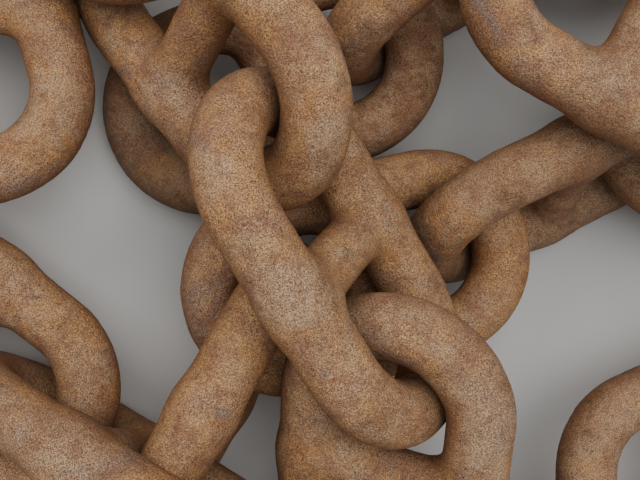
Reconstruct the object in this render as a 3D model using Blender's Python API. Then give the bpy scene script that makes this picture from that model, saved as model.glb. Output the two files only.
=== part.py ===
# Heap of steel chain: stud links of one size, laid by hand into runs that lie over each other
import bmesh
import bpy
import numpy as np
from mathutils import Matrix, Vector
from mathutils.bvhtree import BVHTree

# Link sizes, in metres
BAR = 0.064          # diameter of the round bar
PITCH = 0.256        # inner length of a link
SIDE_PLAY = 0.0384   # inner width of a link less the bar that passes through it
STUD = 0.054         # diameter of the stud across the link's middle, where it is thinnest
STUD_FLARE = 0.010   # how far the stud widens on each side, where it meets the bar
AIR = 0.0003         # gap left between touching links

# Facets of a link
BAR_SIDES = 12
CROWN_STEPS = 8
STUD_STEPS = 6

# How the links are let down: they give way mostly in height, and turn mostly out of the level
STEPS = 520
FALL = 0.008             # drop of each step at the start, in bars
GIVE = (0.06, 0.06, 1.0)
TURNING_ARM = 0.1032     # distance at which a link turns as readily as it shifts
EASE = 0.7               # share of each push that is carried out
CONTACT = 0.002          # gap at which two links count as touching while they are let down
CLEARING = 0.0005        # step by which a link that still crosses another is shifted off it

# How the runs lie: centre of each link in bars (x, y, height), then in degrees the heading of
# its long axis, the rise of its head end, and the lean of its plane towards the left side
PLACES = {
    # the free end of a run, low down, going off to the upper right
    "P0": (-0.6, 2.5, 0.7, 22.5, 0, 5),
    "P1": (3.2, 4.5, 1.5, 42.5, 5, 70),
    "P2": (6.1, 5.7, 1.4, 5, 0, 0),
    "P3": (9.4, 4.4, 1.7, -50, 0, 85),
    # the run over the middle, from the top down to the lower right
    "E1": (-1.3, 9.8, 1.7, 60, 0, 75),
    "E2": (-2.6, 6.4, 2.3, 77.5, -5, 5),
    "E3": (-1.8, 3.1, 3.2, -58, 5, 65),
    "F0": (0.4, -0.4, 3.9, -56, -15, -50),
    "G0": (0.6, -3.5, 3.2, 85, 5, -10),
    "J0": (1.1, -6.1, 3.2, 0, -50, -20),
    "J1": (4.1, -6.5, 1.0, -15, 0, 0),
    "J2": (7.5, -8.3, 1.7, -35, 0, 85),
    # the run round the left side to the middle
    "B4": (-9.3, 4.7, 1.7, 95, 0, 0),
    "B3": (-8.0, 1.0, 1.9, -52, -5, 95),
    "B2": (-5.8, -1.3, 1.7, -43, 0, -5),
    "C0": (-3.1, -3.1, 2.8, -27.5, 0, 90),
    "N0": (-1.6, -2.4, 1.8, 62.5, 0, 90),
    # the same run on from the middle, round the right side
    "M0": (0.8, -0.9, 2.0, 10, 10, 20),
    "M1": (4.3, 1.0, 2.0, 20, 5, 75),
    "M2": (8.1, 1.1, 1.7, -15, 0, 0),
    "M3": (9.3, -1.4, 1.7, 70, 0, 95),
    "M4": (6.7, -3.9, 1.5, 20, 0, 0),
    # the free end at the upper left
    "A2": (-5.5, 3.7, 1.8, 104.5, 0, 0),
    "A1": (-6.7, 6.6, 1.8, 125, 0, 75),
    "A0": (-6.2, 9.3, 1.4, 40, 0, 0),
    # a run along the lower left edge
    "S0": (-9.5, -3.2, 1.7, -50, 0, 85),
    "S1": (-6.6, -5.7, 0.8, -30, 0, 0),
    "S2": (-2.9, -7.2, 1.7, -10, 0, 85),
    "S3": (0.6, -8.7, 1.3, -40, 0, 0),
    # a short length lying on top at the right
    "V0": (4.8, 3.0, 4.0, -30, -10, -5),
    "V1": (8.4, 1.8, 4.3, -10, 0, 80),
    "V2": (11.6, 0.6, 3.0, -35, -20, 0),
}

# Radius of the bend's centre line and half the straight between the bends
BEND = BAR + SIDE_PLAY / 2
HALF = (PITCH - BAR - SIDE_PLAY) / 2
OUTER_LENGTH = 2 * (HALF + BEND) + BAR


def placed_axes(heading, rise, lean):
    """Rotation matrix of a link: its long axis is X, its plane is XY."""
    turn = Matrix.Rotation(np.radians(heading), 3, "Z")
    turn = turn @ Matrix.Rotation(-np.radians(rise), 3, "Y")
    turn = turn @ Matrix.Rotation(np.radians(lean), 3, "X")
    return np.array(turn)


def centre_line(count):
    """Evenly spaced points along the centre line of a link, in its own axes."""
    arc = np.pi * BEND
    whole = 2 * arc + 4 * HALF
    points = []
    for s in np.arange(count) * whole / count:
        side = 1
        if s >= whole / 2:
            s -= whole / 2
            side = -1
        if s < arc:
            angle = s / BEND - np.pi / 2
            point = (HALF + BEND * np.cos(angle), BEND * np.sin(angle), 0)
        else:
            point = (HALF - (s - arc), BEND, 0)
        points.append((side * point[0], side * point[1], 0))
    return np.array(points)


LINE = centre_line(96)
UP = np.array([0.0, 0.0, 1.0])
COMPASS = [np.array([np.cos(angle), np.sin(angle), 0]) for angle in np.arange(8) * np.pi / 4]
SLOPES = [(way + rise) / np.sqrt(2) for way in COMPASS for rise in (UP, -UP)]


def nearest_on_links(turns, centres, points):
    """Closest point of each link's centre line to a point in space, and the bar's radius."""
    q = np.einsum("...ji,...j->...i", turns, points - centres)
    near_x = np.clip(q[..., 0], -HALF, HALF)
    over = q[..., 0] - near_x
    reach = np.maximum(np.hypot(over, q[..., 1]), 1e-9)
    bent = np.abs(q[..., 0]) > HALF
    side = np.where(q[..., 1] >= 0, BEND, -BEND)
    x = np.where(bent, near_x + BEND * over / reach, near_x)
    y = np.where(bent, BEND * q[..., 1] / reach, side)
    local = np.stack([x, y, np.zeros_like(x)], -1)
    return np.einsum("...ij,...j->...i", turns, local) + centres, BAR / 2


def stud_radius(y):
    """Radius of the stud at a distance from the link's middle: it flares out to the bar."""
    return STUD / 2 + STUD_FLARE * np.minimum(np.abs(y) / (BEND - BAR / 2), 1) ** 4


def nearest_on_studs(turns, centres, points):
    """Closest point of each stud's centre line to a point in space, and its radius there."""
    y = np.einsum("...ji,...j->...i", turns, points - centres)[..., 1]
    # The ends of the stud lie inside the bar
    y = np.clip(y, 0.3 * BAR - BEND, BEND - 0.3 * BAR)
    local = np.stack([np.zeros_like(y), y, np.zeros_like(y)], -1)
    return np.einsum("...ij,...j->...i", turns, local) + centres, stud_radius(y)


def close_points(centres, turns, reach):
    """Places where a link's bar comes nearer than reach to another link's bar or stud."""
    i, j = np.triu_indices(len(centres), 1)
    near = np.linalg.norm(centres[i] - centres[j], axis=1) < OUTER_LENGTH + reach
    i = i[near]
    j = j[near]
    found = []
    for first, other, nearest in (
        (i, j, nearest_on_links),
        (i, j, nearest_on_studs),
        (j, i, nearest_on_studs),
    ):
        a = np.einsum("nij,kj->nki", turns[first], LINE) + centres[first][:, None]
        b, radius = nearest(turns[other][:, None], centres[other][:, None], a)
        gap = np.linalg.norm(a - b, axis=-1) - BAR / 2 - radius
        lowest = (gap <= np.roll(gap, 1, 1)) & (gap < np.roll(gap, -1, 1))
        pair, at = np.nonzero(lowest & (gap < reach + 0.1 * BAR))
        a = a[pair, at]
        b = b[pair, at]
        first = first[pair]
        other = other[pair]
        for _ in range(3):
            a, _ = nearest_on_links(turns[first], centres[first], b)
            b, radius = nearest(turns[other], centres[other], a)
        apart = np.linalg.norm(a - b, axis=-1)
        away = (a - b) / np.maximum(apart, 1e-6)[:, None]
        gap = apart - BAR / 2 - radius
        keep = gap < reach
        found.append((first[keep], other[keep], a[keep], b[keep], away[keep], gap[keep]))
    return [np.concatenate(column) for column in zip(*found)]


def turned(turn, vector):
    """A link's axes after a small rotation about a vector."""
    angle = np.linalg.norm(vector)
    if angle < 1e-12:
        return turn
    return np.array(Matrix.Rotation(angle, 3, Vector(vector))) @ turn


def eased(centres, turns, steps):
    """Lets the links down a little at a time and moves crossing bars apart, mostly up and down."""
    count = len(centres)
    give = np.array(GIVE)
    spin = np.array([GIVE[2], GIVE[2], GIVE[0]]) / TURNING_ARM**2
    reach = CONTACT
    floor_at = BAR / 2
    for step in range(steps):
        fall = FALL * BAR * max(0.0, 1 - 2 * step / steps)
        centres[:, 2] -= fall
        for _ in range(2):
            move = np.zeros((count, 3))
            twist = np.zeros((count, 3))
            touches = np.zeros(count)
            i, j, a, b, away, gap = close_points(centres, turns, reach)
            if len(i):
                lever_i = np.cross(a - centres[i], away)
                lever_j = np.cross(b - centres[j], away)
                share = (away**2 * give).sum(1) * 2
                share += (lever_i**2 * spin).sum(1) + (lever_j**2 * spin).sum(1)
                push = ((reach - gap) / np.maximum(share, 1e-6))[:, None]
                np.add.at(move, i, away * give * push)
                np.add.at(move, j, -away * give * push)
                np.add.at(twist, i, lever_i * spin * push)
                np.add.at(twist, j, -lever_j * spin * push)
                np.add.at(touches, i, 1)
                np.add.at(touches, j, 1)
            line = np.einsum("nij,kj->nki", turns, LINE) + centres[:, None]
            height = line[..., 2]
            low = (height <= np.roll(height, 1, 1)) & (height <= np.roll(height, -1, 1))
            link, at = np.nonzero(low & (height < floor_at))
            if len(link):
                lever = np.cross(line[link, at] - centres[link], UP)
                many = np.bincount(link, minlength=count)[link]
                push = (floor_at - height[link, at]) / (1 + (lever**2 * spin).sum(1)) / many
                np.add.at(move, link, UP * push[:, None])
                np.add.at(twist, link, lever * spin * push[:, None])
                touches[np.unique(link)] += 1
            part = EASE / np.maximum(np.sqrt(touches), 1)
            centres += move * part[:, None]
            for k in np.nonzero(touches)[0]:
                turns[k] = turned(turns[k], twist[k] * part[k])
    return centres, turns


def helper(name, shape):
    """A hidden object that another shape is made from."""
    added = bpy.data.objects.new(name, shape)
    helpers.objects.link(added)
    added.hide_render = True
    added.display_type = "WIRE"
    return added


def finished_mesh(made):
    """A mesh of the object as it is with its bevel and modifiers carried out."""
    bpy.context.view_layer.update()
    graph = bpy.context.evaluated_depsgraph_get()
    return bpy.data.meshes.new_from_object(made.evaluated_get(graph))


def bar_mesh():
    """The bar of one link: a section of BAR_SIDES flats swept round the centre line."""
    section = bpy.data.curves.new("bar_section", "CURVE")
    section.dimensions = "2D"
    ring = section.splines.new("POLY")
    ring.points.add(BAR_SIDES - 1)
    for k, point in enumerate(ring.points):
        angle = -2 * np.pi * (k + 0.5) / BAR_SIDES
        point.co = (BAR / 2 * np.cos(angle), BAR / 2 * np.sin(angle), 0, 1)
    ring.use_cyclic_u = True

    path = bpy.data.curves.new("link_path", "CURVE")
    path.dimensions = "3D"
    path.twist_mode = "Z_UP"
    path.bevel_mode = "OBJECT"
    path.bevel_object = helper("bar_section", section)
    track = path.splines.new("POLY")
    track.points.add(2 * CROWN_STEPS + 1)
    for k, point in enumerate(track.points):
        end = 1 if k <= CROWN_STEPS else -1
        angle = np.pi * (k % (CROWN_STEPS + 1)) / CROWN_STEPS - np.pi / 2
        x = end * (HALF + BEND * np.cos(angle))
        y = end * BEND * np.sin(angle)
        point.co = (x, y, 0, 1)
    track.use_cyclic_u = True
    return finished_mesh(helper("link_path", path))


def stud_mesh():
    """The stud: a waisted round bar that reaches into both sides of the link."""
    profile = bmesh.new()
    points = []
    for y in np.linspace(-BEND, BEND, STUD_STEPS + 1):
        points.append(profile.verts.new((stud_radius(y), y, 0)))
    for point, following in zip(points, points[1:]):
        profile.edges.new((point, following))
    bmesh.ops.spin(
        profile, geom=profile.verts[:] + profile.edges[:], cent=(0, 0, 0), axis=(0, 1, 0),
        angle=2 * np.pi, steps=BAR_SIDES, use_merge=True,
    )
    bmesh.ops.remove_doubles(profile, verts=profile.verts, dist=BAR / 1000)
    bmesh.ops.holes_fill(profile, edges=[edge for edge in profile.edges if edge.is_boundary])
    bmesh.ops.recalc_face_normals(profile, faces=profile.faces)
    stud = bpy.data.meshes.new("stud")
    profile.to_mesh(stud)
    profile.free()
    return stud


def link_mesh():
    """One link with its stud, as one closed shape."""
    whole = helper("link_bar", bar_mesh())
    joined = whole.modifiers.new("stud", "BOOLEAN")
    joined.operation = "UNION"
    joined.solver = "EXACT"
    joined.object = helper("stud", stud_mesh())
    mesh = finished_mesh(whole)
    mesh.name = "link"
    for polygon in mesh.polygons:
        polygon.use_smooth = True
    return mesh


def tree_of(points, faces, centre, turn):
    return BVHTree.FromPolygons((points @ turn.T + centre).tolist(), faces)


def closed_up(centres, turns, mesh):
    """Moves links, and then groups of them, by a few millimetres until each touches the next."""
    points = np.array([vertex.co[:] for vertex in mesh.vertices])
    normals = np.array([vertex.normal[:] for vertex in mesh.vertices])
    airy = points + AIR / 2 * normals
    faces = [tuple(polygon.vertices) for polygon in mesh.polygons]
    heights = [points @ turn[2] + centre[2] for centre, turn in zip(centres, turns)]
    lowest = np.array([height.min() for height in heights])
    on_ground = set(np.nonzero(lowest < CONTACT)[0])
    for k in on_ground:
        centres[k, 2] -= lowest[k]
        lowest[k] = 0
    trees = [tree_of(airy, faces, centre, turn) for centre, turn in zip(centres, turns)]

    def struck(group, move):
        """A link outside the group that the group would touch after a move."""
        for k in group:
            tree = tree_of(airy, faces, centres[k] + move, turns[k])
            apart = np.linalg.norm(centres - centres[k], axis=1)
            for other in np.nonzero(apart < OUTER_LENGTH + BAR)[0]:
                if other not in group and tree.overlap(trees[other]):
                    return other
        return None

    def slide(group, way, limit):
        """How far the group can go, the way that it goes, and the link that it then meets."""
        way = np.array(way)
        if group & on_ground or min(lowest[k] for k in group) + limit * way[2] < 0:
            way[2] = 0
        way = way / max(np.linalg.norm(way), 1e-6)
        start = 0.0
        end = limit
        if struck(group, way * end) is None:
            return None
        while end - start > AIR / 10:
            middle = (start + end) / 2
            if struck(group, way * middle) is None:
                start = middle
            else:
                end = middle
        return start, tuple(way), struck(group, way * end)

    def way_off(k):
        """The shortest shift found that takes a link off every other one."""
        for distance in np.arange(1, 100) * CLEARING:
            for way in COMPASS + SLOPES + [UP, -UP]:
                above = lowest[k] + distance * way[2] >= 0
                if above and struck({k}, way * distance) is None:
                    return way * distance
        return 0 * UP

    for k in range(len(centres)):
        if struck({k}, 0 * UP) is not None:
            shift = way_off(k)
            centres[k] += shift
            lowest[k] += shift[2]
            trees[k] = tree_of(airy, faces, centres[k], turns[k])

    groups = {k: {k} for k in range(len(centres))}
    while len(groups[0]) < len(centres):
        i, j, _, _, away, gap = close_points(centres, turns, OUTER_LENGTH)
        between = [(far, p, q, way) for far, p, q, way in zip(gap, i, j, away) if q not in groups[p]]
        between.sort(key=lambda entry: entry[0])
        found = None
        for far, p, q, way in between:
            if len(groups[p]) < len(groups[q]):
                group, way = groups[p], -way
            else:
                group = groups[q]
            found = slide(group, way, max(far, 0) + 0.1 * BAR)
            if found:
                break
        if not found:
            group = min(groups.values(), key=len)
            tries = [slide(group, way, OUTER_LENGTH) for way in COMPASS]
            tries = [entry for entry in tries if entry]
            if not tries:
                break
            found = min(tries, key=lambda entry: entry[0])
        far, way, met = found
        for k in group:
            centres[k] += far * np.array(way)
            lowest[k] += far * way[2]
            trees[k] = tree_of(airy, faces, centres[k], turns[k])
        whole = group | groups[met]
        for k in whole:
            groups[k] = whole
    return centres


# Clear the scene
for old in list(bpy.data.objects):
    bpy.data.objects.remove(old, do_unlink=True)

heap = bpy.data.collections.new("heap_of_steel_chain")
bpy.context.scene.collection.children.link(heap)
helpers = bpy.data.collections.new("helpers")
helpers.hide_render = True
bpy.context.scene.collection.children.link(helpers)

rusted_steel = bpy.data.materials.new("rusted_steel")
rusted_steel.use_nodes = True
shader = rusted_steel.node_tree.nodes["Principled BSDF"]
shader.inputs["Base Color"].default_value = (0.23, 0.125, 0.075, 1)
shader.inputs["Roughness"].default_value = 0.82
shader.inputs["Metallic"].default_value = 0.15

# Lay the links, ease them apart and close them up
across = PITCH / 4
table = np.array(list(PLACES.values()))
middles = table[:, :3] * (across, across, BAR)
axes = np.array([placed_axes(*row[3:]) for row in table])
middles, axes = eased(middles, axes, STEPS)
link = link_mesh()
link.materials.append(rusted_steel)
middles = closed_up(middles, axes, link)

# The heap stands on the ground, with the origin below the middle of its outline
corners = np.array([vertex.co[:] for vertex in link.vertices])
spread = np.concatenate([corners @ turn.T + middle for middle, turn in zip(middles, axes)])
shift = -(spread.min(0) + spread.max(0)) / 2
shift[2] = -spread[:, 2].min()
for number, (middle, turn) in enumerate(zip(middles + shift, axes), 1):
    piece = bpy.data.objects.new("link_%02d" % number, link)
    piece.matrix_world = Matrix.Translation(Vector(middle)) @ Matrix(turn.tolist()).to_4x4()
    heap.objects.link(piece)
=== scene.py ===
# Looks of the heap of steel chain: every link as a round, rusted and pitted bar with its stud
import bpy
import numpy as np
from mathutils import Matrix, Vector


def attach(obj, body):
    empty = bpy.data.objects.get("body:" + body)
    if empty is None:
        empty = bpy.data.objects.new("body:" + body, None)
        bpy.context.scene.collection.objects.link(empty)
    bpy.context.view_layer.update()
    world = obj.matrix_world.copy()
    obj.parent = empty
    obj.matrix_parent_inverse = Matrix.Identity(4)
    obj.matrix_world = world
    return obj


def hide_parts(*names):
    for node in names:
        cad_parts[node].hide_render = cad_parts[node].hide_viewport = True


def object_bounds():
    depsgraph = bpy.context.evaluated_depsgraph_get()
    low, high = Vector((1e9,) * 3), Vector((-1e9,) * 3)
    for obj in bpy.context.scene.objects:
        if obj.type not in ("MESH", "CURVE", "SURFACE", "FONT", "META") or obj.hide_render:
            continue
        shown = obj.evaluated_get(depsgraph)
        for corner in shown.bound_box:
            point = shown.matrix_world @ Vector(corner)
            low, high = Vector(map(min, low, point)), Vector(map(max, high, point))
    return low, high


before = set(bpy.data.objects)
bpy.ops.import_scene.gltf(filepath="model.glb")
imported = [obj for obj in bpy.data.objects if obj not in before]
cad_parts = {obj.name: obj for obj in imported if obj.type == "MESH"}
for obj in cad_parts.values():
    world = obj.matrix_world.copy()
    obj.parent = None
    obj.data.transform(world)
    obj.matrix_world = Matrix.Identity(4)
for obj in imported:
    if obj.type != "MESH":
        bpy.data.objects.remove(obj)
cad_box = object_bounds()

# Sizes of a link, in metres
BAR = 0.064             # its round bar
SOUND_RADIUS = 0.0314   # what rust has left of the bar's radius
STUD_RADIUS = 0.0265    # the stud across its middle
FILLET = 0.024          # reach of the rounded corner between stud and bar
CAD_SIDES = 12          # flats on the CAD bar, which measure less than the round one
FITTINGS = 8            # rounds of measuring a CAD link and lining it up

# How a link is meshed, in metres and counts
FINE_GRID = 0.0034      # mesh size of the links that the camera sees
PLAIN_GRID = 0.005      # mesh size of the others
BAR_RINGS = 160         # rings of the rough bar that the even mesh is made from
STUD_RINGS = 13         # rings of its stud
RING_POINTS = 40        # points on each ring
ROUNDINGS = 6           # times that the even mesh is moved towards the round surface
ROUNDING_SHARE = 0.8    # share of the way that each time covers
SLOPE_STEP = 0.0002     # step to either side where the surface's slope is measured
LEAST_SLOPE = 1e-9      # shorter slopes than this aren't stretched to unit length

# Relief of the rust, in metres: how wide its features are, and how high or deep
WAVE_WIDTH = 0.07
WAVE_RISE = 0.0005
LUMP_WIDTH = 0.03
LUMP_RISE = 0.0003
FLAKE_WIDTH = 0.022
FLAKE_RISE = 0.00035
FLAKE_LEVEL = 0.15      # scale stands where its noise is above this
FLAKE_STEEPNESS = 6     # how sharply it rises there
PIT_CELL = 0.011        # one pit lies in each cell of this size
PIT_RADIUS = 0.42       # as a share of the cell
PIT_DEPTH = 0.0007
PIT_ROUNDNESS = 0.7     # less than 1 gives steep sides and a flatter floor
PITTED_WIDTH = 0.04     # stretches with deep pits and stretches without
PITTED_MIDDLE = 0.4     # how deep the pits are between the two, as a share
HIGHEST_RISE = 0.0006
SEEDS_A_LINK = 100      # so that no two links share their noise

# What a link's material reads from its points
FARTHEST_GAP = 0.2      # gaps to other links are measured up to this
NEIGHBOUR_REACH = 0.5   # links whose middles are farther apart don't darken each other
TONE_SPREAD = 0.15      # how much the paleness varies from link to link
MUD_HEIGHT = 0.09       # how high the mud from the ground reaches

# Where the photograph was taken from
CAMERA_OVER = (-0.214, -0.035)      # metres along x and y
CAMERA_HEIGHT = 1.024               # metres above the floor
CAMERA_TILT = (-0.4, -9.5, -2.1)    # degrees about x, y and z
CAMERA_FOCAL = 49.6                 # millimetres
CAMERA_SENSOR = 36                  # millimetres
CAMERA_NEAR = 0.01                  # metres, the nearest that it sees

# The floor, in metres: it lies a little under the links, so that they don't share its surface
FLOOR_SIZE = 12
FLOOR_DROP = 0.0005

# How each link has rusted: paleness of its dry top, share of orange, and mud from the ground
PLAIN_FINISH = (0.45, 0.35, 0.4)
FINISH = {
    # link_01 lies in shadow under the others: its low paleness and full mud are painted shade as
    # well as mud
    "link_01": (0.10, 0.25, 1.0),
    "link_07": (0.60, 0.80, 0.1),
    "link_08": (0.70, 0.85, 0.1),
    "link_09": (0.60, 0.50, 0.2),
    "link_10": (0.35, 0.25, 0.3),
    "link_15": (0.55, 0.65, 0.3),
    "link_16": (0.85, 0.50, 0.1),
    "link_17": (0.65, 1.00, 0.1),
    "link_18": (0.60, 0.95, 0.1),
    "link_23": (0.60, 0.55, 0.3),
}

# Links that the photo shows at least in part
CLOSE_LINKS = {"link_%02d" % k for k in (1, 2, 6, 7, 8, 9, 10, 15, 16, 17, 18, 19, 23, 27, 30)}

# Large odd numbers that scatter the noise's cells and stir their bits
SCATTER = (73856093, 19349663, 83492791)
SEED_SCATTER = 2654435761
FIRST_STIR = 2246822519
SECOND_STIR = 3266489917
ALL_BITS = 0xFFFFFFFF


def lattice(cell, seed):
    """A fixed random number from 0 to 1 for each whole-numbered cell."""
    mixed = np.int64(seed * SEED_SCATTER)
    for k, factor in enumerate(SCATTER):
        mixed = mixed ^ (cell[..., k].astype(np.int64) * factor)
    mixed = mixed & ALL_BITS
    mixed = ((mixed ^ (mixed >> 15)) * FIRST_STIR) & ALL_BITS
    mixed = ((mixed ^ (mixed >> 13)) * SECOND_STIR) & ALL_BITS
    return (mixed ^ (mixed >> 16)) / ALL_BITS


def smooth_noise(points, size, seed):
    """Noise from -1 to 1 whose lumps are about as big as size."""
    scaled = points / size
    cell = np.floor(scaled)
    part = scaled - cell
    part = part * part * (3 - 2 * part)
    total = np.zeros(len(points))
    for corner in np.ndindex(2, 2, 2):
        weight = np.prod(np.where(np.array(corner) == 1, part, 1 - part), axis=1)
        total += weight * lattice(cell + np.array(corner), seed)
    return 2 * total - 1


def layered_noise(points, size, seed):
    """Noise in three layers, each half as big and half as strong as the one before."""
    total = np.zeros(len(points))
    for layer in range(3):
        total += smooth_noise(points, size / 2**layer, seed + layer) / 2**layer
    return total


def pit_distance(points, size, seed):
    """Distance to the nearest of many scattered points, in cells of the given size."""
    scaled = points / size
    cell = np.floor(scaled)
    nearest = np.full(len(points), np.inf)
    for step in np.ndindex(3, 3, 3):
        there = cell + np.array(step) - 1
        spot = np.stack([lattice(there, seed + k) for k in range(3)], 1)
        nearest = np.minimum(nearest, np.linalg.norm(there + spot - scaled, axis=1))
    return nearest


class Link:
    """Size and place of a link, measured on its CAD node.

    Its own axes run along its length, its width and its thickness. The bar's centre line has
    a half circle of radius bend round each end, and straight sides twice as long as half.
    """

    def __init__(self, node):
        points = np.array([vertex.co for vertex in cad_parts[node].data.vertices])
        points = np.unique(np.round(points, 6), axis=0)
        self.centre = (points.min(0) + points.max(0)) / 2
        self.axes = np.linalg.svd(points - self.centre, full_matrices=False)[2]
        if np.linalg.det(self.axes) < 0:
            self.axes[2] = -self.axes[2]
        local = self.local(points)
        self.centre = self.centre + (local.min(0) + local.max(0)) / 2 @ self.axes
        for _ in range(FITTINGS):
            self.measure(points)
            self.line_up(points)

    def measure(self, points):
        """Reads bend and half off the link's length and width."""
        length, width = np.ptp(self.local(points), axis=0)[:2]
        flat = BAR * np.cos(np.pi / CAD_SIDES)
        self.bend = (width - flat) / 2
        self.half = (length - width) / 2

    def line_up(self, points):
        """Turns and shifts the link so that the CAD points lie equally far off its surface."""
        local = self.local(points)
        out = self.slope(local)
        off = self.height(local)
        effects = np.concatenate([out, np.cross(local, out)], axis=1)
        change = np.linalg.lstsq(effects, off.mean() - off, rcond=None)[0]
        x, y, z = change[3:]
        turn = np.array([[1, -z, y], [z, 1, -x], [-y, x, 1]])
        left, _, right = np.linalg.svd(turn @ self.axes)
        self.axes = left @ right
        self.centre = self.centre - change[:3] @ self.axes

    def local(self, points):
        return (points - self.centre) @ self.axes.T

    def bar_line(self, count):
        """Points along the bar's centre line, and the way out from the link's middle there."""
        arc = np.pi * self.bend
        s = np.arange(count) / count * (2 * arc + 4 * self.half)
        other = s >= arc + 2 * self.half
        s = np.where(other, s - arc - 2 * self.half, s)
        angle = np.minimum(s / self.bend, np.pi) - np.pi / 2
        x = self.half + self.bend * np.cos(angle) - np.maximum(s - arc, 0)
        y = self.bend * np.sin(angle)
        outward = np.stack([np.cos(angle), np.sin(angle), 0 * angle], 1)
        place = np.stack([x, y, 0 * x], 1)
        place[other, :2] *= -1
        outward[other, :2] *= -1
        return place, outward

    def height(self, local):
        """How far points are outside the link's sound surface, stud and rounded corners included."""
        beyond = np.maximum(np.abs(local[:, 0]) - self.half, 0)
        in_plane = np.hypot(beyond, local[:, 1]) - self.bend
        bar = np.hypot(in_plane, local[:, 2]) - SOUND_RADIUS
        past_end = np.maximum(np.abs(local[:, 1]) - self.bend, 0)
        stud = np.sqrt(local[:, 0] ** 2 + local[:, 2] ** 2 + past_end**2) - STUD_RADIUS
        blend = np.maximum(FILLET - np.abs(bar - stud), 0) / FILLET
        return np.minimum(bar, stud) - blend**2 * FILLET / 4

    def slope(self, local):
        """Unit vectors pointing straight out of the surface."""
        moves = np.eye(3) * SLOPE_STEP
        rise = [self.height(local + move) - self.height(local - move) for move in moves]
        out = np.stack(rise, 1)
        return out / np.maximum(np.linalg.norm(out, axis=1), LEAST_SLOPE)[:, None]


links = {node: Link(node) for node in sorted(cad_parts)}


def tube(place, across, up, radius, closed):
    """Points and faces of a tube along a line of places, joined end to end or else capped."""
    turn = 2 * np.pi * np.arange(RING_POINTS) / RING_POINTS
    way = np.cos(turn)[None, :, None] * across[:, None] + np.sin(turn)[None, :, None] * up
    points = (place[:, None] + way * radius).reshape(-1, 3)
    at = np.arange(len(points)).reshape(len(place), RING_POINTS)
    rows = at if closed else at[:-1]
    after = np.roll(at, -1, axis=0) if closed else at[1:]
    faces = np.stack([rows, after, np.roll(after, -1, 1), np.roll(rows, -1, 1)], -1)
    faces = faces.reshape(-1, 4).tolist()
    if not closed:
        faces += [at[0].tolist(), at[-1][::-1].tolist()]
    return points, faces


def rough_link(link):
    """The bar and its stud as two tubes that run into each other."""
    up = np.array([0.0, 0.0, 1.0])
    place, outward = link.bar_line(BAR_RINGS)
    bar, bar_faces = tube(place, outward, up, SOUND_RADIUS, closed=True)
    y = np.linspace(-link.bend, link.bend, STUD_RINGS)
    stud_line = np.stack([0 * y, y, 0 * y], 1)
    sideways = np.tile([1.0, 0.0, 0.0], (STUD_RINGS, 1))
    stud, stud_faces = tube(stud_line, sideways, up, STUD_RADIUS, closed=False)
    stud_faces = [[k + len(bar) for k in face] for face in stud_faces]
    mesh = bpy.data.meshes.new("rough_link")
    mesh.from_pydata(np.concatenate([bar, stud]).tolist(), [], bar_faces + stud_faces)
    return mesh


def even_mesh(link, grid):
    """The bar and its stud as one mesh of even squares, with rounded corners between them."""
    rough = rough_link(link)
    holder = bpy.data.objects.new("rough_link", rough)
    bpy.context.scene.collection.objects.link(holder)
    remesh = holder.modifiers.new("even", "REMESH")
    remesh.mode = "VOXEL"
    remesh.voxel_size = grid
    evaluated = holder.evaluated_get(bpy.context.evaluated_depsgraph_get())
    mesh = bpy.data.meshes.new_from_object(evaluated)
    points = np.array([vertex.co for vertex in mesh.vertices])
    faces = [list(polygon.vertices) for polygon in mesh.polygons]
    bpy.data.objects.remove(holder, do_unlink=True)
    bpy.data.meshes.remove(mesh)
    bpy.data.meshes.remove(rough)
    for _ in range(ROUNDINGS):
        points = points - ROUNDING_SHARE * link.height(points)[:, None] * link.slope(points)
    return points, faces


# All links are of one size, so the first one's meshes serve them all
first_link = next(iter(links.values()))
fine_mesh = even_mesh(first_link, FINE_GRID)
plain_mesh = even_mesh(first_link, PLAIN_GRID)


def rust_relief(skin, seed):
    """How far waves, lumps, flaked scale and pits raise or lower a link's points."""
    rise = WAVE_RISE * smooth_noise(skin, WAVE_WIDTH, seed)
    rise += LUMP_RISE * layered_noise(skin, LUMP_WIDTH, seed + 1)
    flakes = layered_noise(skin, FLAKE_WIDTH, seed + 10)
    rise += FLAKE_RISE * np.clip((flakes - FLAKE_LEVEL) * FLAKE_STEEPNESS, 0, 1)
    pits = pit_distance(skin, PIT_CELL, seed + 20)
    pitted = np.clip(smooth_noise(skin, PITTED_WIDTH, seed + 30) + PITTED_MIDDLE, 0, 1)
    rise -= PIT_DEPTH * pitted * np.clip(1 - pits / PIT_RADIUS, 0, 1) ** PIT_ROUNDNESS
    return np.minimum(rise, HIGHEST_RISE)


def gap_to_others(node, skin):
    """How far each point of a link is from the nearest other link."""
    near = np.full(len(skin), FARTHEST_GAP)
    for name, other in links.items():
        apart = np.linalg.norm(other.centre - links[node].centre)
        if name != node and apart < NEIGHBOUR_REACH:
            near = np.minimum(near, other.height(other.local(skin)))
    return np.maximum(near, 0)


def link_tone(number):
    """A fixed random number from 0 to 1 for each link."""
    return lattice(np.array([[number, 7, 3]]), seed=5)[0]


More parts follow.
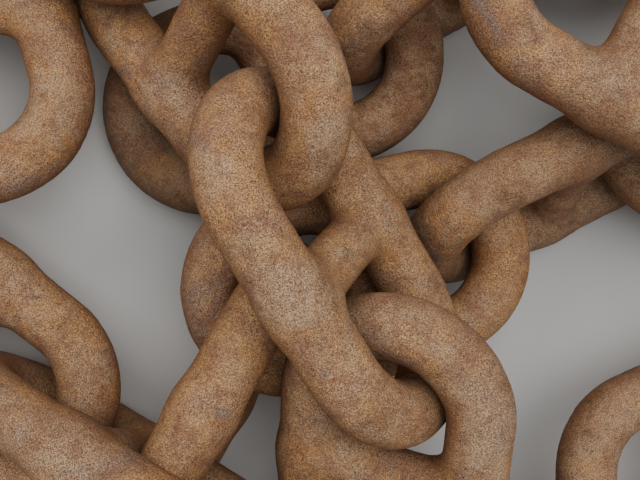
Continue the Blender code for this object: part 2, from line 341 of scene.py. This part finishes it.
def rusted_link(node, number):
    """The node's link with rust in its surface, and with what its material reads there."""
    link = links[node]
    local, faces = fine_mesh if node in CLOSE_LINKS else plain_mesh
    out = link.slope(local) @ link.axes
    skin = local @ link.axes + link.centre
    skin = skin + rust_relief(skin, SEEDS_A_LINK * number)[:, None] * out
    skin = np.clip(skin, *cad_box)  # no point lies outside the CAD model's box

    mesh = bpy.data.meshes.new(node + "_rusted")
    mesh.from_pydata(skin.tolist(), [], faces)
    mesh.polygons.foreach_set("use_smooth", [True] * len(faces))
    pale, orange, mud = FINISH.get(node, PLAIN_FINISH)
    pale += TONE_SPREAD * (link_tone(number) - 0.5)
    values = {
        "gap": gap_to_others(node, skin),
        "pale": np.full(len(skin), pale),
        "orange": np.full(len(skin), orange),
        "mud": mud * np.clip(1 - skin[:, 2] / MUD_HEIGHT, 0, 1),
    }
    for name, value in values.items():
        attribute = mesh.attributes.new(name, "FLOAT", "POINT")
        attribute.data.foreach_set("value", value.astype(np.float32))
    piece = bpy.data.objects.new(node + "_rusted", mesh)
    bpy.context.scene.collection.objects.link(piece)
    mesh.update()
    return piece


class Nodes:
    """Short calls for building a material's node tree."""

    # Where a Mix node has its sockets for colours
    COLOUR_A = 6
    COLOUR_B = 7
    MIXED_COLOUR = 2

    def __init__(self, material):
        material.use_nodes = True
        self.tree = material.node_tree
        self.shader = self.tree.nodes["Principled BSDF"]
        self.place = self.add("ShaderNodeTexCoord").outputs["Object"]

    def add(self, kind, **settings):
        node = self.tree.nodes.new(kind)
        for name, value in settings.items():
            setattr(node, name, value)
        return node

    def link(self, source, target):
        """Joins an output to the target socket, or sets a plain value on that socket."""
        if hasattr(source, "is_output"):
            self.tree.links.new(source, target)
        else:
            target.default_value = source

    def shifted_place(self, shift):
        mapping = self.add("ShaderNodeMapping")
        mapping.inputs["Location"].default_value = shift
        self.link(self.place, mapping.inputs["Vector"])
        return mapping.outputs["Vector"]

    def noise(self, scale, detail, rough, lump=0.0, shift=(0, 0, 0)):
        node = self.add("ShaderNodeTexNoise")
        node.inputs["Scale"].default_value = scale
        node.inputs["Detail"].default_value = detail
        node.inputs["Roughness"].default_value = rough
        node.inputs["Distortion"].default_value = lump
        self.link(self.shifted_place(shift), node.inputs["Vector"])
        return node.outputs["Fac"]

    def cells(self, scale, shift=(0, 0, 0)):
        """Distance to the nearest of scattered points, about scale of them along a metre."""
        node = self.add("ShaderNodeTexVoronoi")
        node.inputs["Scale"].default_value = scale
        self.link(self.shifted_place(shift), node.inputs["Vector"])
        return node.outputs["Distance"]

    def attribute(self, name):
        return self.add("ShaderNodeAttribute", attribute_name=name).outputs["Fac"]

    def math(self, operation, a, b, c=0.0):
        node = self.add("ShaderNodeMath", operation=operation)
        for value, socket in zip((a, b, c), node.inputs):
            self.link(value, socket)
        return node.outputs["Value"]

    def times(self, a, b):
        return self.math("MULTIPLY", a, b)

    def span(self, value, low, high, start=0.0, end=1.0):
        """Start where the value is low or less, end where it is high or more."""
        node = self.add("ShaderNodeMapRange", clamp=True)
        node.inputs["From Min"].default_value = low
        node.inputs["From Max"].default_value = high
        node.inputs["To Min"].default_value = start
        node.inputs["To Max"].default_value = end
        self.link(value, node.inputs["Value"])
        return node.outputs["Result"]

    def mix(self, share, a, b, blend="MIX"):
        node = self.add("ShaderNodeMix", data_type="RGBA", blend_type=blend)
        self.link(share, node.inputs["Factor"])
        self.link(a, node.inputs[self.COLOUR_A])
        self.link(b, node.inputs[self.COLOUR_B])
        return node.outputs[self.MIXED_COLOUR]

    def bump(self, height, strength, distance, under=None):
        node = self.add("ShaderNodeBump")
        node.inputs["Strength"].default_value = strength
        node.inputs["Distance"].default_value = distance
        self.link(height, node.inputs["Height"])
        if under is not None:
            self.link(under, node.inputs["Normal"])
        return node.outputs["Normal"]


# Colours of the rust, as linear red, green and blue
DARK = (0.055, 0.030, 0.018, 1)
BROWN = (0.235, 0.115, 0.056, 1)
TAN = (0.450, 0.275, 0.155, 1)
DUST = (0.560, 0.390, 0.245, 1)
ORANGE = (0.520, 0.235, 0.065, 1)
RED_BROWN = (0.260, 0.112, 0.060, 1)
# painted shade for the flanks and undersides of the bars
UNDERSIDE_SHADE = (0.175, 0.074, 0.030, 1)
PIT = (0.055, 0.028, 0.014, 1)
MUD = (0.120, 0.090, 0.066, 1)
STAIN = (0.140, 0.120, 0.135, 1)


class RustNodes(Nodes):
    """Node tree of the rust, with the noise that its colour and its relief share."""

    def __init__(self, material):
        super().__init__(material)
        self.broad = self.noise(8.0, detail=3.0, rough=0.55, lump=0.4)
        self.patches = self.noise(30.0, detail=5.0, rough=0.62, lump=0.6, shift=(3, 1, 2))
        self.speckle = self.noise(760.0, detail=3.0, rough=0.75, shift=(1, 5, 2))
        self.grain = self.noise(1000.0, detail=2.0, rough=0.7, shift=(2, 2, 9))
        self.small_pits = self.cells(640.0)
        self.large_pits = self.cells(190.0, shift=(4, 0, 7))

    def patchy_brown(self):
        """Brown and tan, with dark spots where the patches are lowest."""
        worn = self.math("ADD", self.times(self.broad, 0.55), self.times(self.patches, 0.45))
        colour = self.mix(self.span(worn, 0.42, 0.56), BROWN, TAN)
        return self.mix(self.span(self.patches, 0.30, 0.44, 0.85, 0.0), colour, DARK)

    def stained(self, colour):
        """Orange as each link has it, and red brown and grey stains on all of them."""
        field = self.noise(14.0, detail=4.0, rough=0.6, lump=0.8, shift=(7, 3, 1))
        limit = self.math("MULTIPLY_ADD", self.attribute("orange"), -0.34, 0.66)
        orange = self.span(self.math("SUBTRACT", field, limit), 0.0, 0.09)
        orange = self.times(orange, self.span(self.speckle, 0.30, 0.62))
        colour = self.mix(self.times(orange, 0.9), colour, ORANGE)
        red = self.noise(22.0, detail=4.0, rough=0.6, lump=0.5, shift=(9, 9, 4))
        colour = self.mix(self.span(red, 0.49, 0.60, 0.0, 0.75), colour, RED_BROWN)
        grey = self.noise(13.0, detail=4.0, rough=0.6, lump=0.9, shift=(5, 8, 8))
        return self.mix(self.span(grey, 0.58, 0.68, 0.0, 0.6), colour, STAIN)

    def flank_shade_and_dust(self, colour):
        """Painted shade on the flanks and undersides, and dry pale dust on top."""
        facing = self.add("ShaderNodeSeparateXYZ")
        self.link(self.add("ShaderNodeNewGeometry").outputs["Normal"], facing.inputs["Vector"])
        upward = facing.outputs["Z"]
        # painted shade: the less a point faces up, the darker it is
        colour = self.mix(self.span(upward, -0.1, 0.8, 0.65, 0.0), colour, UNDERSIDE_SHADE)
        dust = self.times(self.span(upward, 0.15, 0.95), self.span(self.speckle, 0.38, 0.58))
        dust = self.times(dust, self.times(self.attribute("pale"), 0.9))
        bloom = self.noise(24.0, detail=5.0, rough=0.68, lump=0.6, shift=(4, 6, 1))
        dust = self.times(dust, self.span(bloom, 0.38, 0.56, 0.25, 1.0))
        return self.mix(dust, colour, DUST)

    def speckled(self, colour):
        """Fine orange flecks, ragged red brown patches, and light and dark speckle."""
        fleck = self.noise(980.0, detail=2.0, rough=0.6, shift=(8, 2, 4))
        colour = self.mix(self.span(fleck, 0.50, 0.60, 0.0, 0.4), colour, ORANGE)
        ragged = self.noise(70.0, detail=5.0, rough=0.7, lump=0.4, shift=(6, 1, 8))
        colour = self.mix(self.span(ragged, 0.50, 0.62, 0.0, 0.6), colour, RED_BROWN)
        mottle = self.span(self.speckle, 0.37, 0.63, 0.46, 1.54)
        return self.mix(1.0, colour, mottle, blend="MULTIPLY")

    def pitted(self, colour):
        """Dark pits of two sizes, and dark grain."""
        small = self.span(self.small_pits, 0.14, 0.38, 1.0, 0.0)
        small = self.times(small, self.span(self.patches, 0.40, 0.56))
        colour = self.mix(self.times(small, 0.6), colour, PIT)
        large = self.span(self.large_pits, 0.10, 0.26, 1.0, 0.0)
        large = self.times(large, self.span(self.broad, 0.46, 0.60))
        colour = self.mix(self.times(large, 0.55), colour, PIT)
        return self.mix(self.span(self.grain, 0.34, 0.50, 0.70, 0.0), colour, DARK)

    def contact_shade_and_mud(self, colour):
        """Painted shade in crannies where another link is close, and mud low down."""
        # painted shade: darker the closer another link comes
        contact_shade = self.span(self.attribute("gap"), 0.001, 0.024, 1.0, 0.0)
        contact_shade = self.times(contact_shade, self.span(self.patches, 0.25, 0.60, 0.95, 0.55))
        colour = self.mix(self.times(contact_shade, 0.8), colour, DARK)
        mud = self.times(self.attribute("mud"), self.span(self.patches, 0.32, 0.52))
        return self.mix(mud, colour, MUD)

    def relief(self):
        """Patches, speckle, pits and grain as bumps, one over the other."""
        normal = self.bump(self.patches, 0.35, 0.004)
        normal = self.bump(self.speckle, 0.5, 0.0010, normal)
        normal = self.bump(self.span(self.large_pits, 0.10, 0.45), 0.35, 0.0016, normal)
        normal = self.bump(self.span(self.small_pits, 0.10, 0.50), 0.35, 0.0009, normal)
        return self.bump(self.grain, 0.5, 0.0006, normal)


def rust_material():
    """Dry brown rust with tan bloom, orange patches, dark pits and mud low down, with painted shade
    on flanks, undersides and where links touch.
    """
    material = bpy.data.materials.new("rusted_steel_skin")
    nodes = RustNodes(material)
    colour = nodes.patchy_brown()
    for layer in (nodes.stained, nodes.flank_shade_and_dust, nodes.speckled, nodes.pitted, nodes.contact_shade_and_mud):
        colour = layer(colour)
    roughness = nodes.span(nodes.speckle, 0.3, 0.7, 0.70, 0.92)
    shader = nodes.shader
    nodes.link(colour, shader.inputs["Base Color"])
    nodes.link(roughness, shader.inputs["Roughness"])
    nodes.link(nodes.relief(), shader.inputs["Normal"])
    shader.inputs["Metallic"].default_value = 0.0
    shader.inputs["Specular IOR Level"].default_value = 0.35
    return material


rust = rust_material()
for number, node in enumerate(links, 1):
    piece = rusted_link(node, number)
    piece.data.materials.append(rust)
    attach(piece, "root")
    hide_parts(node)


def pale_floor():
    bpy.ops.mesh.primitive_plane_add(size=FLOOR_SIZE, location=(0, 0, -FLOOR_DROP))
    floor = bpy.context.object
    floor.name = "floor"
    material = bpy.data.materials.new("pale_floor")
    material.use_nodes = True
    shader = material.node_tree.nodes["Principled BSDF"]
    shader.inputs["Base Color"].default_value = (0.62, 0.60, 0.57, 1)
    shader.inputs["Roughness"].default_value = 0.9
    floor.data.materials.append(material)


def soft_lights():
    """One wide light straight above, a weaker one from the upper left, and a pale sky."""
    for name, place, size, power in (
        ("overhead", (0.3, 0.5, 3.2), 2.6, 62),
        ("side", (-2.2, 1.9, 2.4), 1.8, 38),
    ):
        data = bpy.data.lights.new(name, "AREA")
        data.size = size
        data.energy = power
        light = bpy.data.objects.new(name, data)
        light.location = place
        light.rotation_euler = (-Vector(place)).to_track_quat("-Z", "Y").to_euler()
        bpy.context.scene.collection.objects.link(light)
    world = bpy.data.worlds.new("sky")
    bpy.context.scene.world = world
    world.use_nodes = True
    sky = world.node_tree.nodes["Background"]
    sky.inputs["Color"].default_value = (0.86, 0.93, 1.0, 1)
    sky.inputs["Strength"].default_value = 0.55


def photo_camera():
    data = bpy.data.cameras.new("photo_camera")
    data.sensor_width = CAMERA_SENSOR
    data.lens = CAMERA_FOCAL
    data.clip_start = CAMERA_NEAR
    camera = bpy.data.objects.new("photo_camera", data)
    camera.location = (*CAMERA_OVER, CAMERA_HEIGHT)
    camera.rotation_mode = "ZYX"
    camera.rotation_euler = [np.radians(angle) for angle in CAMERA_TILT]
    bpy.context.scene.collection.objects.link(camera)
    bpy.context.scene.camera = camera


pale_floor()
soft_lights()
photo_camera()
